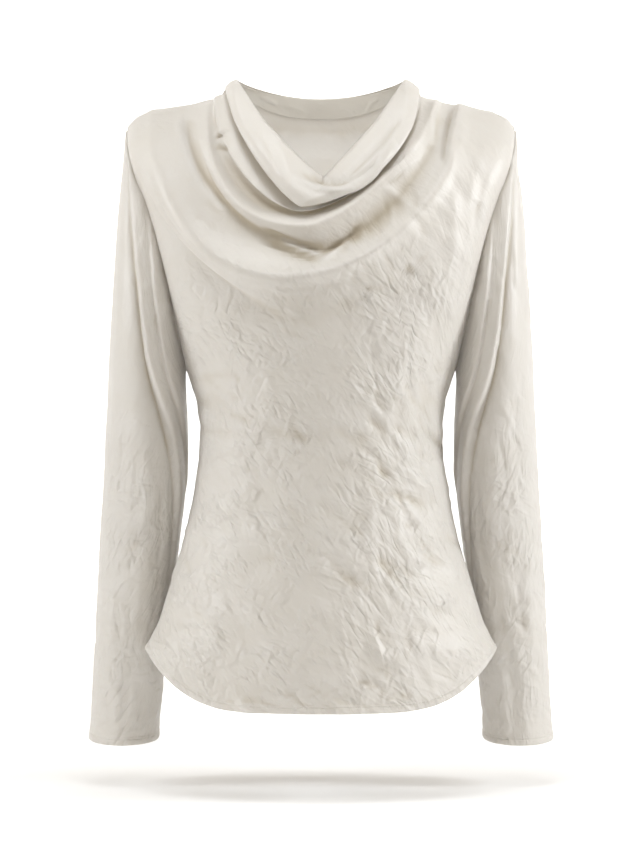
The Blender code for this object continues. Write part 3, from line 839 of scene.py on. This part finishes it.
def back_depth(x, height):
    half_width, forward = side_at(height)
    forward = np.where(height < SEAM[UNDERARM].height, -forward, forward)
    top, edge_depth = back_top(x)
    # the neckline's curve rounds off below the edge, and has gone a hand's width down
    below = np.maximum(top - height, 0)
    edge_share = edge_depth / BACK_NECK_DEPTH
    edge_depth = edge_depth * edge_share ** (NECK_ROUNDS_OFF * smooth(below / NECK_ROUNDS_BY))
    edge_depth = edge_depth * (1.0 - smooth((below - NECK_FADES_FROM) / NECK_FADE))
    section = oval(x / half_width, girth_at(height, "power"))
    full = girth_at(height, "back") - forward - edge_depth
    collar = smooth((1.0 - np.abs(x) / SEAM[0].half_width) / 0.75)
    return forward + edge_depth + full * section * rounding(top - height, collar)


def back_spread(steps):
    """Where the columns of the back cross its upper edge: close together round the neckline's ends."""
    neck = SEAM[0].half_width / SEAM[TIP].half_width
    inside = neck * np.sin(math.pi / 2 * np.clip(steps / BACK_NECK_SHARE, -1, 1))
    outer = np.clip((np.abs(steps) - BACK_NECK_SHARE) / (1 - BACK_NECK_SHARE), 0, 1)
    return inside + np.sign(steps) * (1 - neck) * outer


def back_grid():
    """Points of the back from its upper edge to the underarm."""
    share = (np.linspace(0, 1, BACK_ARM_ROWS + 1)[:-1, None]) ** 1.4
    half_width, end_height, _ = seam_at(TIP_RUN + (UNDERARM_RUN - TIP_RUN) * share)
    steps = np.linspace(-1, 1, BACK_COLUMNS + 1)[None, :]
    spread = back_spread(steps)
    even = -np.cos(math.pi * (steps + 1) / 2)
    across = spread + (even - spread) * smooth((share - 0.2) / 0.8)
    x = half_width * across
    above_tip = back_top(SEAM[TIP].half_width * across)[0] - SEAM[TIP].height
    z = end_height + above_tip * (1.0 - share) ** 1.3
    return np.stack([x, back_depth(x, z), z], axis=2)


back_points = np.concatenate([back_grid(), trunk_grid(BACK_COLUMNS, BACK_TAIL, back_depth, 1)])
soften(back_points, 3)
back_plain = back_points.copy()
back_heights = crease_heights(back_points[:, :, 0], back_points[:, :, 2], BACK_CREASES)
back_heights += crushing(back_points, BACK_CRUSH) + hem_heights(back_points)
back_points += grid_normals(back_points, -1) * back_heights[:, :, None]
back_satin = satin("back_satin", IVORY, MOTTLE_AND_SHADE_IVORY, math.radians(42), 0.0025)
back_places = body_metres(back_plain, back_depth, lambda x: back_top(x)[0])
back = hang_cloth("back_panel_cloth", back_points, back_places, back_satin, "back_panel", outward=-1)

# Back neck facing. A shaped strip of the same satin, sewn to the back neckline and turned to the inside,
# where it lies against the back. Its lower edge is only overlocked.
FACING_REACH = 0.62
FACING_ROWS = 24
FACING_DEPTH = 20
FACING_OFFSET = 1.6

FACING_CREASES = (
    Crease(-62, 8, -44, -2, 2, 2.2, 1.2),
    Crease(-54, 2, -32, -8, 1, 2.4, -1.0),
    Crease(-36, 0, -14, -9, 2, 3.0, 0.8),
    Crease(60, 8, 46, -6, -2, 2.2, 1.2),
    Crease(50, 2, 36, -10, -1, 2.4, -1.0),
    Crease(20, -2, 34, -12, 2, 3.0, 0.7),
)


def facing_grid():
    """Points of the facing: the back's own cloth below its neckline, moved inwards."""
    depth = np.concatenate([[0], np.cumsum(np.linalg.norm(np.diff(back_plain, axis=0), axis=2)[:, BACK_COLUMNS // 2])])
    reach = np.searchsorted(depth, FACING_DEPTH + 8)
    first = round(BACK_COLUMNS / 2 * (1 - FACING_REACH))
    strip = back_plain[:reach, first : BACK_COLUMNS - first + 1]
    fallen = np.concatenate([np.zeros((1, strip.shape[1])), np.cumsum(np.linalg.norm(np.diff(strip, axis=0), axis=2), axis=0)])
    inwards = grid_normals(back_plain)[:reach, first : BACK_COLUMNS - first + 1]
    inner = strip + inwards * FACING_OFFSET
    wanted = 0.6 + np.linspace(0, 1, FACING_ROWS + 1) * FACING_DEPTH
    rows = [[np.interp(wanted, fallen[:, k], inner[:, k, axis]) for axis in range(3)] for k in range(strip.shape[1])]
    return np.transpose(np.array(rows), (2, 0, 1))


facing_points = facing_grid()
facing_heights = crease_heights(facing_points[:, :, 0], facing_points[:, :, 2], FACING_CREASES)
facing_points += grid_normals(facing_points) * np.maximum(facing_heights, -0.2)[:, :, None]
# painted shade: the facing, though of the same satin, is coloured all in the darker ivory, for the shade inside the
# neck
facing_satin = satin("facing_satin", MOTTLE_AND_SHADE_IVORY, MOTTLE_AND_SHADE_IVORY, math.radians(20), 0.0016)
facing_places = tube_metres(facing_points)
facing = hang_cloth("back_neck_facing_cloth", facing_points, facing_places, facing_satin, "back_neck_facing")

# Sleeves. Each is cut in one piece, eased into its armhole and closed by a seam under the arm, with a
# narrow stitched hem at the cuff. A long fold drops from the shoulder tip to the inside of the elbow.
SLEEVE_COLUMNS = 236
SLEEVE_ROWS = 180
ARMHOLE_FADE_RINGS = 7
FOLD_SHARPNESS = 1.3
FOLD_FALL = 20
TROUGH_RISE = 13
TROUGH_DEPTH = 1.7
SECOND_FOLD = 0.35
SECOND_FOLD_BESIDE = 32
CUFF_TILT = 4.5
ARMHOLE_EASE = 0.0
ALLOWANCE = 9.0
ALLOWANCE_DIP = 0.05
ALLOWANCE_ROWS = (1.0, 0.55, 0.15)

Ring = namedtuple("Ring", "outer_x outer_z inner_x inner_z centre_y half_depth")
RINGS = (
    Ring(193.6, -28, 134.5, -270.5, 0, 50),
    Ring(195.0, -38, 134.8, -272.5, 0, 53),
    Ring(197, -61, 135, -274.5, 0, 56),
    Ring(200.5, -95, 135.2, -277, 1, 58),
    Ring(204, -135, 135.4, -280, 2, 58),
    Ring(207, -180, 135.5, -284, 3, 57),
    Ring(210, -225, 135.5, -290, 5, 55),
    Ring(212.5, -268, 135.4, -300, 8, 53),
    Ring(214, -304, 135.2, -316, 11, 51),
    Ring(216, -335, 135.2, -338, 14, 50),
    Ring(217.5, -365, 135.6, -365, 17, 49),
    Ring(219.5, -395, 137, -395, 21, 48),
    Ring(222, -425, 141, -425, 26, 46),
    Ring(224, -455, 145, -455, 31, 44),
    Ring(226, -490, 149.5, -490, 36, 42),
    Ring(228.5, -525, 154, -525, 41, 40),
    Ring(230.5, -560, 158, -560, 44, 39),
    Ring(232.5, -595, 161.5, -595, 47, 38),
    Ring(234, -623, 164, -623, 49, 37.5),
    Ring(235.5, -642.5, 165.5, -642.5, 50, 37),
)

# The long fold, by ring: its place round the sleeve from the outside in, in degrees, and its height
SleeveFold = namedtuple("SleeveFold", "ring angle height")
SLEEVE_FOLD = (
    SleeveFold(0, 44, 0),
    SleeveFold(2, 52, 4.0),
    SleeveFold(4, 71, 6.5),
    SleeveFold(6, 92, 7.0),
    SleeveFold(8, 118, 6.5),
    SleeveFold(11, 148, 4.0),
    SleeveFold(14, 158, 1.0),
    SleeveFold(19, 152, 0),
)


SLEEVE_CREASES = {
    -1: (
        Crease(-190, -290, -207, -520, -5, 8, -2.4),
        Crease(-203, -330, -217, -600, 4, 7, 1.8),
        Crease(-172, -330, -190, -560, 6, 7, 2.2),
        Crease(-158, -370, -168, -520, 4, 5, -2.4),
        Crease(-180, -520, -198, -640, -4, 6, -1.6),
        Crease(-160, -392, -196, -428, 6, 5, 1.6),
        Crease(-160, -414, -202, -455, 6, 5, -1.5),
        Crease(-164, -452, -206, -484, 5, 5, 1.3),
        Crease(-176, -560, -180, -636, 2, 4, 1.2),
        # puckers beside the armhole seam
        Crease(-170, -112, -158, -114, 0, 1.8, -0.9),
        Crease(-168, -122, -154, -125, 1, 1.8, -1.0),
        Crease(-166, -133, -152, -136, 0, 2.0, -1.0),
    ),
    1: (
        Crease(186, -280, 204, -500, 6, 8, -2.2),
        Crease(202, -310, 216, -590, -4, 7, 1.8),
        Crease(168, -300, 184, -520, -6, 7, 2.0),
        Crease(156, -360, 164, -470, -4, 5, -2.2),
        Crease(176, -500, 196, -640, 5, 6, -1.8),
        Crease(158, -400, 192, -424, -6, 5, 1.5),
        Crease(160, -424, 200, -456, -5, 5, -1.6),
        Crease(166, -470, 206, -500, -5, 5, 1.3),
        Crease(184, -570, 190, -638, -2, 4, 1.3),
        Crease(170, -108, 160, -110, 0, 1.8, -0.9),
        Crease(168, -117, 156, -120, 1, 1.8, -1.0),
        Crease(167, -126, 153, -129, 0, 2.0, -1.0),
    ),
}
SLEEVE_BACK_CREASES = {
    -1: (
        Crease(-178, -120, -196, -380, 5, 8, 2.0),
        Crease(-164, -180, -178, -400, -4, 7, -1.8),
        Crease(-150, -400, -206, -430, 5, 6, 1.8),
        Crease(-152, -430, -210, -462, 5, 6, -1.6),
        Crease(-186, -470, -200, -630, -4, 8, 1.6),
    ),
    1: (
        Crease(180, -130, 198, -390, -5, 8, 2.0),
        Crease(166, -170, 176, -380, 4, 7, -1.8),
        Crease(152, -405, 208, -440, -5, 6, 1.8),
        Crease(154, -436, 212, -470, -5, 6, -1.6),
        Crease(188, -480, 202, -636, 4, 8, 1.6),
    ),
}


def overlap(past):
    """Section of a fold laid over itself: a sharp edge at 0, falling away gently inwards (past it) and
    steeply outwards into a trough that rises again slowly."""
    degrees = np.degrees(past)
    step = 1 / (1 + np.exp(-degrees / FOLD_SHARPNESS))
    inner = np.exp(-np.maximum(degrees, 0) / FOLD_FALL)
    outer = np.exp(-np.maximum(-degrees, 0) / TROUGH_RISE)
    return step * inner - TROUGH_DEPTH * (1 - step) * outer


def ring_point(at, angle, turn):
    """Points of the sleeve before it is fitted to the armhole, at ring numbers at and angles angle."""
    keys = np.arange(len(RINGS), dtype=float)
    ring = {name: curve(keys, column(RINGS, name), at) for name in Ring._fields}
    fold_keys = column(SLEEVE_FOLD, "ring")
    fold_angle = np.radians(curve(fold_keys, column(SLEEVE_FOLD, "angle"), at))
    height = curve(fold_keys, column(SLEEVE_FOLD, "height"), at)
    fold = overlap(turn - fold_angle) + SECOND_FOLD * overlap(turn - fold_angle - math.radians(SECOND_FOLD_BESIDE))
    swell = 1.0 + fold * height / ring["half_depth"]
    across, depth = np.cos(angle) * swell, np.sin(angle) * swell
    tilt = CUFF_TILT * smooth((at - 12) / 7) * np.sin(angle)
    x = (ring["outer_x"] + ring["inner_x"]) / 2 + (ring["outer_x"] - ring["inner_x"]) / 2 * across
    z = (ring["outer_z"] + ring["inner_z"]) / 2 + (ring["outer_z"] - ring["inner_z"]) / 2 * across - tilt
    return np.stack([x, ring["centre_y"] - ring["half_depth"] * depth, z], axis=2)


def sleeve_grid(side):
    """Points of a sleeve from the armhole to the cuff, side -1 for the left one and 1 for the right."""
    at = (len(RINGS) - 1) * crowded_end(SLEEVE_ROWS)[:, None]
    angle = (math.pi + 2 * math.pi * np.arange(SLEEVE_COLUMNS)[None, :] / SLEEVE_COLUMNS) % (2 * math.pi)
    turn = np.where(angle <= math.pi, angle, 2 * math.pi - angle) + 0 * at
    points = ring_point(at, angle + 0 * at, turn)
    plain = ring_point(0 * at[:1], angle, turn[:1])
    run = TIP_RUN + (UNDERARM_RUN - TIP_RUN) * (1 - np.cos(turn[:1])) / 2
    half_width, height, forward = seam_at(run)
    forward = np.where(angle <= math.pi, -forward, forward)
    armhole = np.stack([half_width + 0.3 + 0.7 + ARMHOLE_EASE, forward, height], axis=2)
    fade = 1.0 - smooth(at / ARMHOLE_FADE_RINGS)
    points += fade[:, :, None] * (armhole - plain)
    middle = points[0].mean(axis=0)
    for number, inwards in enumerate(ALLOWANCE_ROWS):
        points[number] = middle + (points[0] - middle) * (1 - ALLOWANCE_DIP * inwards)
        points[number, :, 0] -= ALLOWANCE * inwards
    points[:, :, 0] *= side
    return points


sewn_hems = [(front_points, 1, False), (back_points, -1, False)]
for side, name in ((-1, "sleeve_left"), (1, "sleeve_right")):
    points = soften(sleeve_grid(side), 2, closed=True)
    outwards = grid_normals(points, -side, closed=True)
    in_front = smooth(0.5 - (points[:, :, 1] - points[:, :, 1].mean(axis=1, keepdims=True)) / 24)
    folds = crease_heights(points[:, :, 0], points[:, :, 2], SLEEVE_CREASES[side])
    behind = crease_heights(points[:, :, 0], points[:, :, 2], SLEEVE_BACK_CREASES[side])
    heights = crushing(points, SLEEVE_CRUSH[side], arm=True) + hem_heights(points)
    heights += folds * in_front + behind * (1 - in_front)
    points += outwards * heights[:, :, None]
    sewn_hems.append((points, -side, True))
    cloth = satin(name + "_satin", IVORY, MOTTLE_AND_SHADE_IVORY, math.radians(90 - side * 14), 0.0022)
    sleeve = hang_cloth(name + "_cloth", points, None, cloth, name, outward=-side, closed=True)

# Hem stitching. One line of ivory thread holds each turned-up hem, 6 mm above its edge, round the body and
# both cuffs.
STITCH_LENGTH = 1.9
STITCH_GAP = 0.7
THREAD = 0.32


def sew(stitches, line, normals):
    """Adds a line of stitches along a row of points, each one lying on the cloth."""
    steps = np.linalg.norm(np.diff(line, axis=0), axis=1)
    run = np.concatenate([[0], np.cumsum(steps)])
    for start in np.arange(0.5, run[-1] - STITCH_LENGTH, STITCH_LENGTH + STITCH_GAP):
        ends = [np.array([np.interp(at, run, line[:, k]) for k in range(3)]) for at in (start, start + STITCH_LENGTH)]
        normal = Vector([np.interp(start, run, normals[:, k]) for k in range(3)]).normalized()
        along = Vector(ends[1] - ends[0]).normalized()
        side = normal.cross(along).normalized()
        turn = Matrix((along, side, normal)).transposed().to_4x4()
        middle = Vector((ends[0] + ends[1]) / 2) + normal * (CLOTH / 2 + THREAD * 0.2)
        size = Matrix.Diagonal((STITCH_LENGTH / 2, THREAD / 2, THREAD / 2, 1))
        place = Matrix.Translation(middle * MM) @ turn @ (Matrix.Diagonal((MM, MM, MM, 1)) @ size)
        bmesh.ops.create_icosphere(stitches, subdivisions=1, radius=1.0, matrix=place)


stitches = bmesh.new()
for points, outward, closed in sewn_hems:
    distance = edge_distance(points).mean(axis=1)
    row = int(np.argmin(np.abs(distance - HEM_WIDTH + 1.0)))
    normals = grid_normals(points, outward, closed)[row]
    line = points[row]
    if closed:
        line, normals = np.concatenate([line, line[:1]]), np.concatenate([normals, normals[:1]])
    sew(stitches, line, normals)
thread_mesh = bpy.data.meshes.new("hem_stitches")
stitches.to_mesh(thread_mesh)
stitches.free()
thread_mesh.shade_smooth()
thread_material = bpy.data.materials.new("ivory_thread")
thread_material.use_nodes = True
thread_nodes, thread_links = thread_material.node_tree.nodes, thread_material.node_tree.links
thread_shader = thread_nodes["Principled BSDF"]
where = thread_nodes.new("ShaderNodeTexCoord")
ply = thread_nodes.new("ShaderNodeTexNoise")
ply.inputs["Scale"].default_value = 3000
thread_links.new(where.outputs["Object"], ply.inputs["Vector"])
shades = thread_nodes.new("ShaderNodeMix")
shades.data_type = "RGBA"
shades.inputs["A"].default_value = (*MOTTLE_AND_SHADE_IVORY, 1)
shades.inputs["B"].default_value = (*IVORY, 1)
thread_links.new(ply.outputs["Fac"], shades.inputs["Factor"])
thread_links.new(shades.outputs["Result"], thread_shader.inputs["Base Color"])
thread_shader.inputs["Roughness"].default_value = 0.6
thread_mesh.materials.append(thread_material)
thread = bpy.data.objects.new("hem_stitches", thread_mesh)
bpy.context.scene.collection.objects.link(thread)
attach(thread, "root")
